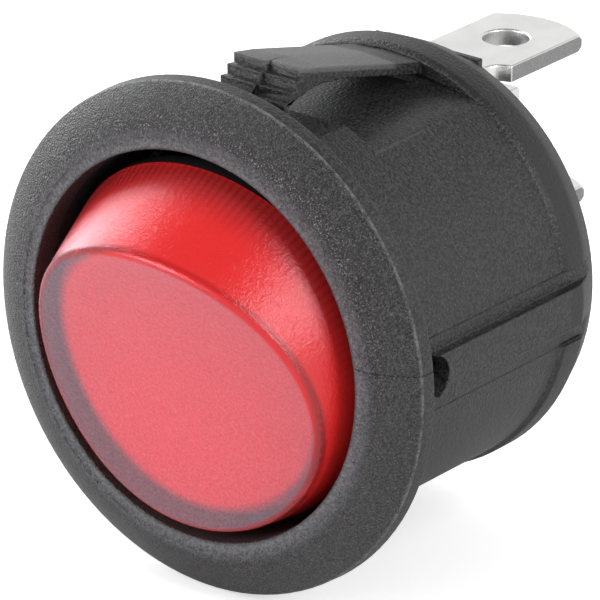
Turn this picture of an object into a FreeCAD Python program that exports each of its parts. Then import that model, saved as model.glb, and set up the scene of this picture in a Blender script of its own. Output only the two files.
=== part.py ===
import FreeCAD, Part
import math
import os

# Panel rocker switch. Millimetres. The switch axis is Y: the front looks along -Y, the
# tabs leave along +Y, and y = 0 is the panel plane under the bezel. Z is up (12 o'clock).

V = FreeCAD.Vector

# ---- terminals ------------------------------------------------------------------------
TAB_W = 4.8
TAB_T = 0.8
TAB_PITCH = 7.29
TAB_SIDE = 8.4          # straight side of a tab behind the rear face
TAB_CROWN = 0.85        # the tip is an arc this high
TAB_BEVEL = 0.2
TAB_HOLE_R = 1.05
TAB_HOLE_BACK = 3.33    # hole centre to the middle of the outer tabs' tips
COMMON_OUT = 0.45       # the middle tab stands this much further out
NECK_R = 0.8            # relief notches at the neck
NECK_GAP = 0.2          # shoulder to notch
SHOULDER_W = 6.4
WING_W = 8.4            # staked wings that lock the shoulder outside the rear face
WING_GAP = 0.03         # wing to the rear pad
SHOULDER_OUT = 1.3      # shoulder behind the rear face
SLOT_FIT = 0.04
PAD_LOAD_L = 4.29       # how far the load pad turns down the rear wall
PAD_LAMP_L = 1.29
EAR_HALF = 1.3
EAR_EDGE = 0.05         # ear beyond the spring that stands on it
EAR_Z = 4.0
EAR_ROOT = 1.2          # width of the ear's stem
BEND_R = 0.7

# ---- bezel and body -------------------------------------------------------------------
CHAMBER_WALL = 1.27     # barrel wall round the contact chamber
MOUTH_WALL = 0.92       # barrel wall round the mouth that the rocker tips in
RIM_OVER = 1.85         # bezel rim beyond the barrel
RIM_DRAFT = 0.04        # the rim's side leans in by this much
RIM_H = 0.76            # straight side of the rim
DOME_BULGE = 0.15       # how far the dome stands above the chord from rim to lip
LIP_W = 0.57            # smooth flat lip round the mouth
LIP_SINK = 0.05         # the lip lies this much below the top of the dome
BEZEL_H = 1.95          # bezel height over the panel
COLLAR_Y = 4.3          # rear edge of the full round collar
LEDGE = 0.5             # wall between the well floor and the latch pocket
RING_Y = 11.57          # front of the rear ring
RING_STEP = 0.17        # the ring stands this much proud of the barrel
RING_SLOPE = 0.25       # its front edge slopes up over this length
RING_LAND = 1.38        # from its front edge to its lead-in cone
BAND_HIGH = 1.6         # the ring leaves a band bare round each key rib, from this height
BAND_LOW = 1.8          # down to this depth
REAR_Y = 14.3           # rear face
REAR_STEP = 0.41        # lead-in: the rear face's edge below the barrel
REAR_WALL = 2.4         # wall that carries the terminals
RIB_STEP = 0.42         # flat face of the key rib over the barrel
RIB_W = 1.88
RIB_ROOT = 1.0          # the rib's root inside the barrel
POCKET_WALL = 0.67      # wall between the chamber and the pocket under a latch arm
POCKET_ROUND = 1.6      # soft edges of the pocket floor
NOTCH_W = 6.6           # notch in the collar for the latch nose
NOTCH_WALL = 0.32       # wall left between that notch and the mouth
PAD_W = 5.8             # raised pads beside the outer tabs
PAD_H = 0.3
PAD_IN = 1.4            # a pad starts this far inside its tab
PAD_EDGE = 0.25         # and ends this far inside the rear face's edge

# ---- latch arms -----------------------------------------------------------------------
ARM_W = 3.64
ARM_T = 0.58
ARM_RIDGE = 0.12        # the arm's back is a shallow gable
NOSE_Y = 3.4            # top corner of the nose
NOSE_OVER = 1.77        # and its height over the barrel
CROWN_BACK = 1.1        # the arm's back starts this far behind the corner
CROWN_DROP = 0.19
ARM_SLOPE = 14.2        # degrees, nose to root
TOOTH = 0.45            # pitch of the nose steps, forward
TOOTH_DROP = 0.45       # riser of each step
TOOTH_LIFT = 0.06       # each tread rises towards its edge
TEETH = 4
NOSE_BELLY = 0.8        # depth of the nose under its top corner

# ---- rocker ---------------------------------------------------------------------------
PIVOT_Y = 1.95          # trunnion axis behind the panel plane
THROW = 28.0            # degrees from stop to stop
PIN_R = 0.9
PIN_FIT = 0.05
PIN_RECESS = 0.8        # the trunnion ends this far inside the rib face
CAP_GAP = 0.23          # lens base to the mouth
CAP_BASE_H = 1.2        # base of the lens above the pivot
FACE_H = 5.0            # middle of the dished face above the pivot
FACE_SAG = 1.1          # how far the two ends stand above the middle
FACE_IN_X = 1.0         # the face is this much smaller than the base each side
FACE_IN_Z = 1.6         # and at its two raised ends
FACE_EDGE_R = 0.3
LENS_WALL = 1.0
LENS_FIT = 0.05
FRAME_T = 0.7           # platform under the lens
FRAME_STEP = 0.05       # the platform is this much smaller than the lens
SPIGOT_H = 1.0
SPIGOT_T = 0.7
LUG_R = 1.15
LUG_IN = 1.5            # inner face of the trunnion lugs, inside the lens base
LUG_GAP = 0.3           # lug to the mouth wall
TUBE_R = 1.9
TUBE_L = 4.4            # plunger tube below the platform
BORE_R = 1.15
BORE_ROOF = 0.5
WEB_T = 0.8             # cross ribs under the platform
WEB_H = 1.1
WEB_IN = 2.5            # the long rib ends this far inside the lens base
CRADLE_T = 0.8

# ---- plunger --------------------------------------------------------------------------
PLUNGER_FIT = 0.07
PLUNGER_TIP = 7.2       # tip below the pivot
PLUNGER_TIP_R = 0.55
PLUNGER_TOP = 1.4       # top below the pivot
PLUNGER_SHANK = 3.4     # guided length
PLUNGER_SPRING_WIRE = 0.24
PLUNGER_SPRING_R = 0.8
PLUNGER_SPRING_TURNS = 4

# ---- contact blade --------------------------------------------------------------------
BLADE_T = 0.5
BLADE_W = 4.6
BLADE_L = 6.2           # half length
BLADE_THROW = 14.0      # degrees from stop to stop
VALLEY_R = 0.6
VALLEY_GAP = 0.3        # plunger to the valley at mid travel
VALLEY_SLOPE = 20.4     # degrees
KNEE = 2.2
CRADLE_FIT = 0.05
CHEEK_FIT = 0.2         # blade to the fulcrum's cheeks
CHEEK_Y = 1.6           # cheeks in front of the cradle
CONTACT_V = 5.0
CONTACT_R = 1.3
CONTACT_H = 0.6
CONTACT_DOME = 0.12
CONTACT_GAP = 0.05
STOP_GAP = 0.06
STOP_W = 2.8
STOP_L = 1.3

# ---- lamp -----------------------------------------------------------------------------
LAMP_R = 1.3
LAMP_L = 6.4
LAMP_X = 0.5            # the lamp sits this far off the middle, clear of its left lead
LAMP_V = 3.5
LAMP_GLASS = 0.3
LAMP_CLEAR = 0.1        # lamp over the platform
LAMP_PINCH = 1.0        # solid glass round the electrodes
ELECTRODE_R = 0.22
ELECTRODE_OFF = 0.5
ELECTRODE_OUT = 0.3     # electrode ends outside the glass
ELECTRODE_TIP = 0.3     # and inside it, before the dome
WIRE_R = 0.2
WIRE_BEND = 0.35
WIRE_SIDES = 8
SLEEVE_T = 0.2
SLEEVE_FIT = 0.03
RESISTOR_R = 0.75
RESISTOR_L = 2.8
RESISTOR_EDGE = 0.2
LAMP_SPRING_IN = 3.5    # spring axes inside the lens base
LAMP_SPRING_R = 1.05
LAMP_SPRING_WIRE = 0.32
LAMP_SPRING_TURNS = 7
COIL_STEPS = 12         # straight runs in a turn of a spring
COIL_SIDES = 6
SPRING_GAP = 0.1

# ---- what follows from them -----------------------------------------------------------
CHAMBER_Z = TAB_PITCH + TAB_T / 2 + SLOT_FIT
CHAMBER_R = math.hypot(CHAMBER_Z, SHOULDER_W / 2 + SLOT_FIT)
BODY_R = CHAMBER_R + CHAMBER_WALL
MOUTH_R = BODY_R - MOUTH_WALL
LIP_R = MOUTH_R + LIP_W
RIM_R = BODY_R + RIM_OVER
REAR_R = BODY_R - REAR_STEP
RIB_X = BODY_R + RIB_STEP
POCKET_Z = CHAMBER_Z + POCKET_WALL
WELL_Y = COLLAR_Y - LEDGE
INNER_Y = REAR_Y - REAR_WALL
PAD_Y = INNER_Y - TAB_T
NOSE_Z = BODY_R + NOSE_OVER
TILT = THROW / 2
CAP_R = MOUTH_R - CAP_GAP
FRAME_N = CAP_BASE_H - FRAME_T
BLADE_TILT = BLADE_THROW / 2
BLADE_Y = PIVOT_Y + PLUNGER_TIP + VALLEY_GAP - VALLEY_R
LAMP_SPRING_X = CAP_R - LAMP_SPRING_IN
EAR_X = LAMP_SPRING_X + LAMP_SPRING_R + EAR_EDGE


# ---- helpers --------------------------------------------------------------------------
def box(x0, x1, y0, y1, z0, z1):
    return Part.makeBox(x1 - x0, y1 - y0, z1 - z0, V(x0, y0, z0))


def rod(radius, start, end):
    return Part.makeCylinder(radius, (end - start).Length, start, end - start)


def polygon(points):
    return Part.makePolygon(points + points[:1])


def turned(edges, axis):
    return Part.Face(Part.Wire(edges)).revolve(V(0, 0, 0), axis, 360)


def line(a, b):
    return Part.LineSegment(a, b).toShape()


def tipped(shape, tilt, y):
    """Seat a shape drawn in (x, v, n) on the cross axis at y, n forward, tipped by tilt."""
    place = FreeCAD.Placement(V(0, y, 0), FreeCAD.Rotation(V(1, 0, 0), 90 + tilt))
    seated = shape.copy()
    seated.Placement = place.multiply(shape.Placement)
    return seated


def on_rocker(shape):
    return tipped(shape, TILT, PIVOT_Y)


def coil(radius, wire_r, length, turns):
    """Compression spring along +Z from 0 to length, its wire drawn with COIL_SIDES flats."""
    steps = COIL_STEPS * turns
    rings = []
    for i in range(steps + 1):
        turn = 2 * math.pi * i / COIL_STEPS
        rise = wire_r + (length - 2 * wire_r) * i / steps
        points = []
        for j in range(COIL_SIDES):
            side = 2 * math.pi * j / COIL_SIDES
            reach = radius + wire_r * math.cos(side)
            z = rise + wire_r * math.sin(side)
            points.append(V(reach * math.cos(turn), reach * math.sin(turn), z))
        rings.append(polygon(points))
    return Part.makeLoft(rings, True, True)


def bent_rod(points, radius):
    """Wire through the points, bent at each inner one and drawn with WIRE_SIDES flats."""
    heading = (points[1] - points[0]).normalize()
    stations = [(points[0], heading)]
    for before, corner, after in zip(points, points[1:], points[2:]):
        back = (before - corner).normalize()
        ahead = (after - corner).normalize()
        half = back.getAngle(ahead) / 2
        reach = WIRE_BEND / math.tan(half)
        inward = (back + ahead).normalize()
        middle = corner + inward * (WIRE_BEND / math.sin(half) - WIRE_BEND)
        stations.append((corner + back * reach, back * -1))
        stations.append((middle, (ahead - back).normalize()))
        stations.append((corner + ahead * reach, ahead))
    stations.append((points[-1], stations[-1][1]))
    spoke = heading.cross(V(1, 2, 3)).normalize() * radius
    spokes = [
        FreeCAD.Rotation(heading, 360 * i / WIRE_SIDES).multVec(spoke)
        for i in range(WIRE_SIDES)
    ]
    rings = []
    for place, ahead in stations:
        turn = FreeCAD.Rotation(heading, ahead)
        spokes = [turn.multVec(s) for s in spokes]
        heading = ahead
        rings.append(polygon([place + s for s in spokes]))
    return Part.makeLoft(rings, True, True)


# ---- housing --------------------------------------------------------------------------
def bezel_and_collar():
    rim_top = V(RIM_R - RIM_DRAFT, -RIM_H, 0)
    crest = V(LIP_R, -BEZEL_H, 0)
    chord = crest - rim_top
    outward = V(-chord.y, chord.x, 0).normalize()
    middle = rim_top + chord * 0.5 + outward * DOME_BULGE
    lip_y = -BEZEL_H + LIP_SINK
    edges = [
        line(V(0, 0, 0), V(0, lip_y, 0)),
        line(V(0, lip_y, 0), V(LIP_R - LIP_SINK, lip_y, 0)),
        line(V(LIP_R - LIP_SINK, lip_y, 0), crest),
        Part.Arc(crest, middle, rim_top).toShape(),
        line(rim_top, V(RIM_R, 0, 0)),
        line(V(RIM_R, 0, 0), V(0, 0, 0)),
    ]
    flange = turned(edges, V(0, 1, 0))
    collar = Part.makeCylinder(BODY_R, COLLAR_Y, V(0, 0, 0), V(0, 1, 0))
    return flange.fuse(collar)


def waist():
    """Barrel between the collar and the ring, flat under both latch arms."""
    length = RING_Y - COLLAR_Y
    barrel = Part.makeCylinder(BODY_R, length, V(0, COLLAR_Y, 0), V(0, 1, 0))
    slab = box(-BODY_R, BODY_R, COLLAR_Y, RING_Y, -POCKET_Z, POCKET_Z)
    shape = barrel.common(slab)
    corner_x = math.sqrt(BODY_R ** 2 - POCKET_Z ** 2)
    corners = [
        e for e in shape.Edges
        if abs(abs(e.CenterOfMass.x) - corner_x) < 0.01
        and abs(abs(e.CenterOfMass.z) - POCKET_Z) < 0.01
    ]
    return shape.makeFillet(POCKET_ROUND, corners)


def ring():
    land = RING_Y + RING_LAND
    corners = [
        V(0, RING_Y, 0),
        V(BODY_R, RING_Y, 0),
        V(BODY_R + RING_STEP, RING_Y + RING_SLOPE, 0),
        V(BODY_R + RING_STEP, land, 0),
        V(REAR_R, REAR_Y, 0),
        V(0, REAR_Y, 0),
    ]
    edges = [line(a, b) for a, b in zip(corners, corners[1:] + corners[:1])]
    barrel = Part.makeCylinder(BODY_R, REAR_Y - RING_Y, V(0, RING_Y, 0), V(0, 1, 0))
    band = box(-RIB_X, RIB_X, RING_Y, REAR_Y, -BAND_LOW, BAND_HIGH)
    return turned(edges, V(0, 1, 0)).cut(band.cut(barrel))


def nose_steps(first_y, first_z):
    """Stepped front of a latch nose, from its top corner down to its tip."""
    points = []
    for i in range(TEETH):
        y = first_y - i * TOOTH
        z = first_z - i * (TOOTH_DROP - TOOTH_LIFT)
        points.append((y, z))
        points.append((y, z - TOOTH_DROP))
    return points


def arm_section(x, shift, lift):
    """Side view of a latch arm at x, its nose steps shifted along the slope."""
    fall = math.tan(math.radians(ARM_SLOPE))
    steps = nose_steps(NOSE_Y + shift, NOSE_Z - shift * fall)
    tip_y, tip_z = steps[-1]
    root_y = RING_Y + RING_LAND / 2
    crown_y = NOSE_Y + CROWN_BACK
    crown_z = NOSE_Z - CROWN_DROP
    root_z = crown_z - (root_y - crown_y) * fall
    section = steps + [
        (tip_y + NOSE_BELLY, tip_z + NOSE_BELLY / 2),
        (crown_y - NOSE_BELLY / 2, crown_z - NOSE_BELLY),
        (crown_y + NOSE_BELLY / 4, crown_z - NOSE_BELLY),
        (crown_y + 2 * NOSE_BELLY, crown_z - 2 * NOSE_BELLY * fall - ARM_T),
        (root_y, root_z - ARM_T),
        (root_y, root_z + lift),
        (crown_y, crown_z + lift),
    ]
    return polygon([V(x, y, z) for y, z in section])


def latch_arm():
    halves = []
    for side in (-1, 1):
        shift = 0 if side > 0 else -TOOTH / 2
        inner = arm_section(0, shift, ARM_RIDGE)
        outer = arm_section(side * ARM_W / 2, shift, 0)
        halves.append(Part.makeLoft([inner, outer], True, True))
    return halves[0].fuse(halves[1])


def key_rib():
    """Flat-faced rib at 3 o'clock, trimmed by the ring's lead-in cone."""
    slope = (RING_STEP + REAR_STEP) / (REAR_Y - RING_Y - RING_LAND)
    lead_in = Part.makeCone(REAR_R + slope * REAR_Y, REAR_R, REAR_Y, V(0, 0, 0), V(0, 1, 0))
    rib = box(BODY_R - RIB_ROOT, RIB_X, 0, REAR_Y, -RIB_W / 2, RIB_W / 2)
    return rib.common(lead_in)


def contact_chamber():
    chamber = Part.makeCylinder(CHAMBER_R, INNER_Y - WELL_Y, V(0, WELL_Y, 0), V(0, 1, 0))
    return chamber.common(box(-CHAMBER_R, CHAMBER_R, WELL_Y, INNER_Y, -CHAMBER_Z, CHAMBER_Z))


def terminal_slots():
    half_w = SHOULDER_W / 2 + SLOT_FIT
    half_t = TAB_T / 2 + SLOT_FIT
    return [
        box(-half_w, half_w, INNER_Y, REAR_Y + PAD_H, z - half_t, z + half_t)
        for z in (-TAB_PITCH, 0, TAB_PITCH)
    ]


def blade_stop():
    """Post on the rear wall that the blade's lamp end comes down on."""
    y, z = contact_seat()
    return box(-STOP_W / 2, STOP_W / 2, y + STOP_GAP, INNER_Y, -z - STOP_L / 2, -z + STOP_L / 2)


def housing():
    solid = bezel_and_collar().fuse([waist(), ring()])
    notch_z = MOUTH_R + NOTCH_WALL
    for turn in (0, 180):
        notch = box(-NOTCH_W / 2, NOTCH_W / 2, 0, COLLAR_Y, notch_z, BODY_R + 1)
        pad = box(-PAD_W / 2, PAD_W / 2, REAR_Y, REAR_Y + PAD_H,
                  TAB_PITCH - PAD_IN, REAR_R - PAD_EDGE)
        notch.rotate(V(0, 0, 0), V(0, 1, 0), turn)
        solid = solid.cut(notch)
        for extra in (latch_arm(), key_rib(), pad):
            extra.rotate(V(0, 0, 0), V(0, 1, 0), turn)
            solid = solid.fuse(extra)
    well = Part.makeCylinder(MOUTH_R, WELL_Y + BEZEL_H, V(0, -BEZEL_H, 0), V(0, 1, 0))
    pivots = rod(PIN_R + PIN_FIT, V(-RIB_X - 1, PIVOT_Y, 0), V(RIB_X + 1, PIVOT_Y, 0))
    solid = solid.cut([well, contact_chamber(), pivots] + terminal_slots())
    return solid.fuse(blade_stop()).removeSplitter()


# ---- rocker ---------------------------------------------------------------------------
def face_cutter(depth):
    """Big cylinder across the rocker that dishes its face, sunk by depth."""
    reach = CAP_R - FACE_IN_Z
    radius = (reach ** 2 + FACE_SAG ** 2) / (2 * FACE_SAG)
    middle = FACE_H + radius
    return rod(radius + depth, V(-2 * CAP_R, 0, middle), V(2 * CAP_R, 0, middle))


def cap_radii(n):
    """Outside of the lens at height n: round at the base, oval towards the face."""
    rise = n - CAP_BASE_H
    rx = CAP_R - FACE_IN_X * rise / (FACE_H - CAP_BASE_H)
    rz = CAP_R - FACE_IN_Z * rise / (FACE_H + FACE_SAG - CAP_BASE_H)
    return rx, rz


def oval(n, wall):
    """Outline of the lens at height n, or of its hollow inside a wall."""
    rx, rz = cap_radii(n)
    curve = Part.Ellipse(V(0, 0, n), max(rx, rz) - wall, min(rx, rz) - wall)
    return Part.Wire(curve.toShape())


def rocker_lens():
    top = FACE_H + 2 * FACE_SAG
    outer = Part.makeLoft([oval(CAP_BASE_H, 0), oval(top, 0)], True, True)
    outer = outer.cut(face_cutter(0))
    edge = [e for e in outer.Edges if e.CenterOfMass.z > FACE_H]
    outer = outer.makeFillet(FACE_EDGE_R, edge)
    hollow = Part.makeLoft([oval(CAP_BASE_H, LENS_WALL), oval(top, LENS_WALL)], True, True)
    hollow = hollow.cut(face_cutter(LENS_WALL))
    return on_rocker(outer.cut(hollow))


def trunnions():
    """Lugs under the platform with a pin on each outer side."""
    lug_out = math.sqrt((MOUTH_R - LUG_GAP) ** 2 - LUG_R ** 2)
    parts = []
    for side in (-1, 1):
        inner = V(side * (CAP_R - LUG_IN), 0, 0)
        outer = V(side * lug_out, 0, 0)
        tip = V(side * (RIB_X - PIN_RECESS), 0, 0)
        parts.append(rod(LUG_R, inner, outer))
        low = min(inner.x, outer.x)
        high = max(inner.x, outer.x)
        parts.append(box(low, high, -LUG_R, LUG_R, 0, FRAME_N + 0.1))
        parts.append(rod(PIN_R, inner, tip))
    return parts


def lamp_cradles():
    seat = rod(LAMP_R + LENS_FIT, V(-LAMP_L, LAMP_V, lamp_n()), V(LAMP_L, LAMP_V, lamp_n()))
    cradles = []
    for x in (LAMP_X - LAMP_L / 4, LAMP_X + LAMP_L / 4):
        low = LAMP_V - LAMP_R
        block = box(x - CRADLE_T / 2, x + CRADLE_T / 2, low, low + 2 * LAMP_R, CAP_BASE_H, lamp_n())
        cradles.append(block.cut(seat))
    return cradles


def rocker_frame():
    spigot_r = min(cap_radii(CAP_BASE_H + SPIGOT_H)) - LENS_WALL - LENS_FIT
    web = WEB_T / 2
    long = CAP_R - WEB_IN
    lug = CAP_R - LUG_IN
    platform = Part.makeCylinder(CAP_R - FRAME_STEP, FRAME_T, V(0, 0, FRAME_N))
    spigot = Part.makeCylinder(spigot_r, SPIGOT_H, V(0, 0, CAP_BASE_H))
    spigot = spigot.cut(Part.makeCylinder(spigot_r - SPIGOT_T, SPIGOT_H, V(0, 0, CAP_BASE_H)))
    tube = Part.makeCylinder(TUBE_R, TUBE_L, V(0, 0, FRAME_N - TUBE_L))
    ribs = [
        box(-web, web, -long, long, FRAME_N - WEB_H, FRAME_N),
        box(-lug, lug, -web, web, FRAME_N - WEB_H, FRAME_N),
    ]
    solid = platform.fuse([spigot, tube] + ribs + trunnions() + lamp_cradles())
    bore = Part.makeCylinder(BORE_R, TUBE_L + FRAME_T - BORE_ROOF, V(0, 0, FRAME_N - TUBE_L))
    holes = [
        rod(WIRE_R + SLEEVE_FIT, V(x, v, FRAME_N - 1), V(x, v, CAP_BASE_H + 1))
        for x, v in (load_drop(), neutral_drop())
    ]
    return on_rocker(solid.cut([bore] + holes).removeSplitter())


# ---- plunger --------------------------------------------------------------------------
def plunger():
    shank_r = BORE_R - PLUNGER_FIT
    neck_n = -PLUNGER_TOP - PLUNGER_SHANK
    centre = PLUNGER_TIP_R - PLUNGER_TIP
    edges = [
        line(V(0, 0, -PLUNGER_TOP), V(shank_r, 0, -PLUNGER_TOP)),
        line(V(shank_r, 0, -PLUNGER_TOP), V(shank_r, 0, neck_n)),
        line(V(shank_r, 0, neck_n), V(PLUNGER_TIP_R, 0, centre)),
        Part.Arc(
            V(PLUNGER_TIP_R, 0, centre),
            V(PLUNGER_TIP_R * math.sin(math.pi / 4), 0, centre - PLUNGER_TIP_R * math.cos(math.pi / 4)),
            V(0, 0, -PLUNGER_TIP),
        ).toShape(),
        line(V(0, 0, -PLUNGER_TIP), V(0, 0, -PLUNGER_TOP)),
    ]
    return on_rocker(turned(edges, V(0, 0, 1)))


def plunger_spring():
    roof = CAP_BASE_H - BORE_ROOF
    spring = coil(PLUNGER_SPRING_R, PLUNGER_SPRING_WIRE / 2, roof + PLUNGER_TOP - SPRING_GAP / 2,
                  PLUNGER_SPRING_TURNS)
    spring.translate(V(0, 0, -PLUNGER_TOP + SPRING_GAP / 4))
    return on_rocker(spring)


# ---- contact blade --------------------------------------------------------------------
def wing_front(v):
    """Height of the wing's front face at v, in the blade's own frame."""
    slope = math.radians(VALLEY_SLOPE)
    knee = -VALLEY_R * math.cos(slope) + (KNEE - VALLEY_R * math.sin(slope)) * math.tan(slope)
    return knee + (v - KNEE) * math.tan(math.radians(BLADE_TILT))


def contact_seat():
    """World y and z of the wing's rear face under the moving contact, at rest."""
    tilt = math.radians(BLADE_TILT)
    v = CONTACT_V + BLADE_T * math.sin(tilt)
    n = wing_front(CONTACT_V) - BLADE_T * math.cos(tilt)
    y = BLADE_Y + v * math.sin(tilt) - n * math.cos(tilt)
    z = v * math.cos(tilt) + n * math.sin(tilt)
    return y, z


def blade_side(sign):
    """Front and rear points of one wing: tangent point, knee and end."""
    slope = math.radians(VALLEY_SLOPE)
    tilt = math.radians(BLADE_TILT)
    mid = (slope + tilt) / 2
    stretch = BLADE_T / math.cos((slope - tilt) / 2)
    outer = VALLEY_R + BLADE_T
    front = [
        (VALLEY_R * math.sin(slope), -VALLEY_R * math.cos(slope)),
        (KNEE, wing_front(KNEE)),
        (BLADE_L, wing_front(BLADE_L)),
    ]
    rear = [
        (outer * math.sin(slope), -outer * math.cos(slope)),
        (KNEE + stretch * math.sin(mid), front[1][1] - stretch * math.cos(mid)),
        (BLADE_L + BLADE_T * math.sin(tilt), front[2][1] - BLADE_T * math.cos(tilt)),
    ]
    x = -BLADE_W / 2
    return [V(x, sign * v, n) for v, n in front], [V(x, sign * v, n) for v, n in rear]


def contact_blade():
    up_front, up_rear = blade_side(1)
    low_front, low_rear = blade_side(-1)
    x = -BLADE_W / 2
    loop = [
        Part.Arc(low_front[0], V(x, 0, -VALLEY_R), up_front[0]).toShape(),
        line(up_front[0], up_front[1]),
        line(up_front[1], up_front[2]),
        line(up_front[2], up_rear[2]),
        line(up_rear[2], up_rear[1]),
        line(up_rear[1], up_rear[0]),
        Part.Arc(up_rear[0], V(x, 0, -VALLEY_R - BLADE_T), low_rear[0]).toShape(),
        line(low_rear[0], low_rear[1]),
        line(low_rear[1], low_rear[2]),
        line(low_rear[2], low_front[2]),
        line(low_front[2], low_front[1]),
        line(low_front[1], low_front[0]),
    ]
    blade = Part.Face(Part.Wire(loop)).extrude(V(BLADE_W, 0, 0))
    return tipped(blade, -BLADE_TILT, BLADE_Y)


def button(height):
    """Domed contact button that stands on z = 0."""
    edge = height - CONTACT_DOME
    ball = (CONTACT_R ** 2 + CONTACT_DOME ** 2) / (2 * CONTACT_DOME)
    half_up = height - ball + math.sqrt(ball ** 2 - CONTACT_R ** 2 / 4)
    edges = [
        line(V(0, 0, 0), V(CONTACT_R, 0, 0)),
        line(V(CONTACT_R, 0, 0), V(CONTACT_R, 0, edge)),
        Part.Arc(
            V(CONTACT_R, 0, edge),
            V(CONTACT_R / 2, 0, half_up),
            V(0, 0, height),
        ).toShape(),
        line(V(0, 0, height), V(0, 0, 0)),
    ]
    return turned(edges, V(0, 0, 1))


def moving_contact():
    y, z = contact_seat()
    shape = button(CONTACT_H)
    shape.rotate(V(0, 0, 0), V(1, 0, 0), -90)
    shape.translate(V(0, y, z))
    return shape


def fixed_contact():
    y, z = contact_seat()
    shape = button(PAD_Y - y - CONTACT_H - CONTACT_GAP)
    shape.rotate(V(0, 0, 0), V(1, 0, 0), 90)
    shape.translate(V(0, PAD_Y, z))
    return shape


# ---- terminals ------------------------------------------------------------------------
def tab(inner_y, further):
    """Flat terminal in the plane z = 0, from inner_y to a crowned tip that much further out.

    The holes of all three tabs stay in line, so that one wire can pass through them."""
    half = TAB_W / 2
    wide = SHOULDER_W / 2
    wing = WING_W / 2
    seat = REAR_Y + PAD_H + WING_GAP
    shoulder = REAR_Y + SHOULDER_OUT
    side = REAR_Y + TAB_SIDE + further
    tip = side + TAB_CROWN
    low = -TAB_T / 2
    left = [
        V(-half, side, low), V(-half, shoulder, low), V(-wing, shoulder, low),
        V(-wing, seat, low), V(-wide, seat, low), V(-wide, inner_y, low),
    ]
    right = [V(-p.x, p.y, low) for p in reversed(left)]
    corners = left + right
    loop = [line(a, b) for a, b in zip(corners, corners[1:])]
    loop.append(Part.Arc(corners[-1], V(0, tip, low), corners[0]).toShape())
    plate = Part.Face(Part.Wire(loop)).extrude(V(0, 0, TAB_T))
    crown = [e for e in plate.Edges if e.CenterOfMass.y > side + TAB_CROWN / 3]
    plate = plate.makeChamfer(TAB_BEVEL, crown)
    hole_y = REAR_Y + TAB_SIDE + TAB_CROWN - TAB_HOLE_BACK
    neck_y = shoulder + NECK_GAP + NECK_R
    cuts = [rod(TAB_HOLE_R, V(0, hole_y, -TAB_T), V(0, hole_y, TAB_T))]
    for x in (-half, half):
        cuts.append(rod(NECK_R, V(x, neck_y, -TAB_T), V(x, neck_y, TAB_T)))
    return plate.cut(cuts)


def bent_terminal(pad_length):
    """Tab at +TAB_PITCH whose inner end turns down the rear wall, with a spring ear at -X."""
    flat = tab(PAD_Y, 0)
    flat.translate(V(0, 0, TAB_PITCH))
    top = TAB_PITCH + TAB_T / 2
    wide = SHOULDER_W / 2
    pad = box(-wide, wide, PAD_Y, INNER_Y, top - pad_length, top)
    stem = box(-wide, EAR_ROOT - wide, PAD_Y, INNER_Y, EAR_Z - EAR_HALF, top)
    ear = box(-EAR_X, EAR_ROOT - wide, PAD_Y, INNER_Y, EAR_Z - EAR_HALF, EAR_Z + EAR_HALF)
    solid = flat.fuse([pad, stem, ear]).removeSplitter()
    bend = [
        e for e in solid.Edges
        if abs(e.CenterOfMass.y - PAD_Y) < 0.01 and abs(e.CenterOfMass.z - top) < 0.01
    ]
    return solid.makeFillet(BEND_R, bend)


def load_terminal():
    return bent_terminal(PAD_LOAD_L)


def lamp_terminal():
    shape = bent_terminal(PAD_LAMP_L)
    shape.rotate(V(0, 0, 0), V(0, 1, 0), 180)
    return shape


def common_terminal():
    """Flat terminal whose inner end is the blade's cradle between two cheeks."""
    cradle_r = VALLEY_R + BLADE_T + CRADLE_FIT
    flat = tab(BLADE_Y + cradle_r - CHEEK_Y, COMMON_OUT)
    half = BLADE_W / 2 + CHEEK_FIT
    gap = box(-half, half, 0, BLADE_Y + cradle_r / 2, -TAB_T, TAB_T)
    cradle = rod(cradle_r, V(-half, BLADE_Y, 0), V(half, BLADE_Y, 0))
    return flat.cut([gap, cradle])


# ---- lamp circuit ---------------------------------------------------------------------
def lamp_left():
    return LAMP_X - LAMP_L / 2


def lamp_n():
    return CAP_BASE_H + LAMP_R + LAMP_CLEAR


def load_drop():
    """Where the lead to the load spring goes down through the platform."""
    return -LAMP_SPRING_X + LAMP_SPRING_R, spring_v(EAR_Z)


def neutral_drop():
    return LAMP_SPRING_X, spring_v(-EAR_Z) + LAMP_SPRING_R


def spring_v(z):
    """Rocker coordinate v on the platform's underside at world height z, at rest."""
    tilt = math.radians(TILT)
    return (z + FRAME_N * math.sin(tilt)) / math.cos(tilt)


def capsule(radius, start, end):
    """Round bar along X, square at its start and domed at its end."""
    bar = rod(radius, V(start, LAMP_V, lamp_n()), V(end - radius, LAMP_V, lamp_n()))
    return bar.fuse(Part.makeSphere(radius, V(end - radius, LAMP_V, lamp_n())))


def electrode_holes(radius):
    ends = []
    for v in (-ELECTRODE_OFF, ELECTRODE_OFF):
        start = V(lamp_left() - ELECTRODE_OUT, LAMP_V + v, lamp_n())
        end = V(lamp_left() + LAMP_L - LAMP_R - ELECTRODE_TIP, LAMP_V + v, lamp_n())
        ends.append(rod(radius, start, end))
    return ends


def neon_glass():
    left = lamp_left()
    outer = capsule(LAMP_R, left, left + LAMP_L)
    inner = capsule(LAMP_R - LAMP_GLASS, left + LAMP_PINCH, left + LAMP_L - LAMP_GLASS)
    return on_rocker(outer.cut([inner] + electrode_holes(ELECTRODE_R + 0.01)).removeSplitter())


def electrode_left():
    return on_rocker(electrode_holes(ELECTRODE_R)[1])


def electrode_right():
    return on_rocker(electrode_holes(ELECTRODE_R)[0])


def lamp_lead_left():
    x, v = load_drop()
    start = V(lamp_left() - ELECTRODE_OUT, LAMP_V + ELECTRODE_OFF, lamp_n())
    points = [start, V(x, v, lamp_n()), V(x, v, FRAME_N)]
    return on_rocker(bent_rod(points, WIRE_R))


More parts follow.
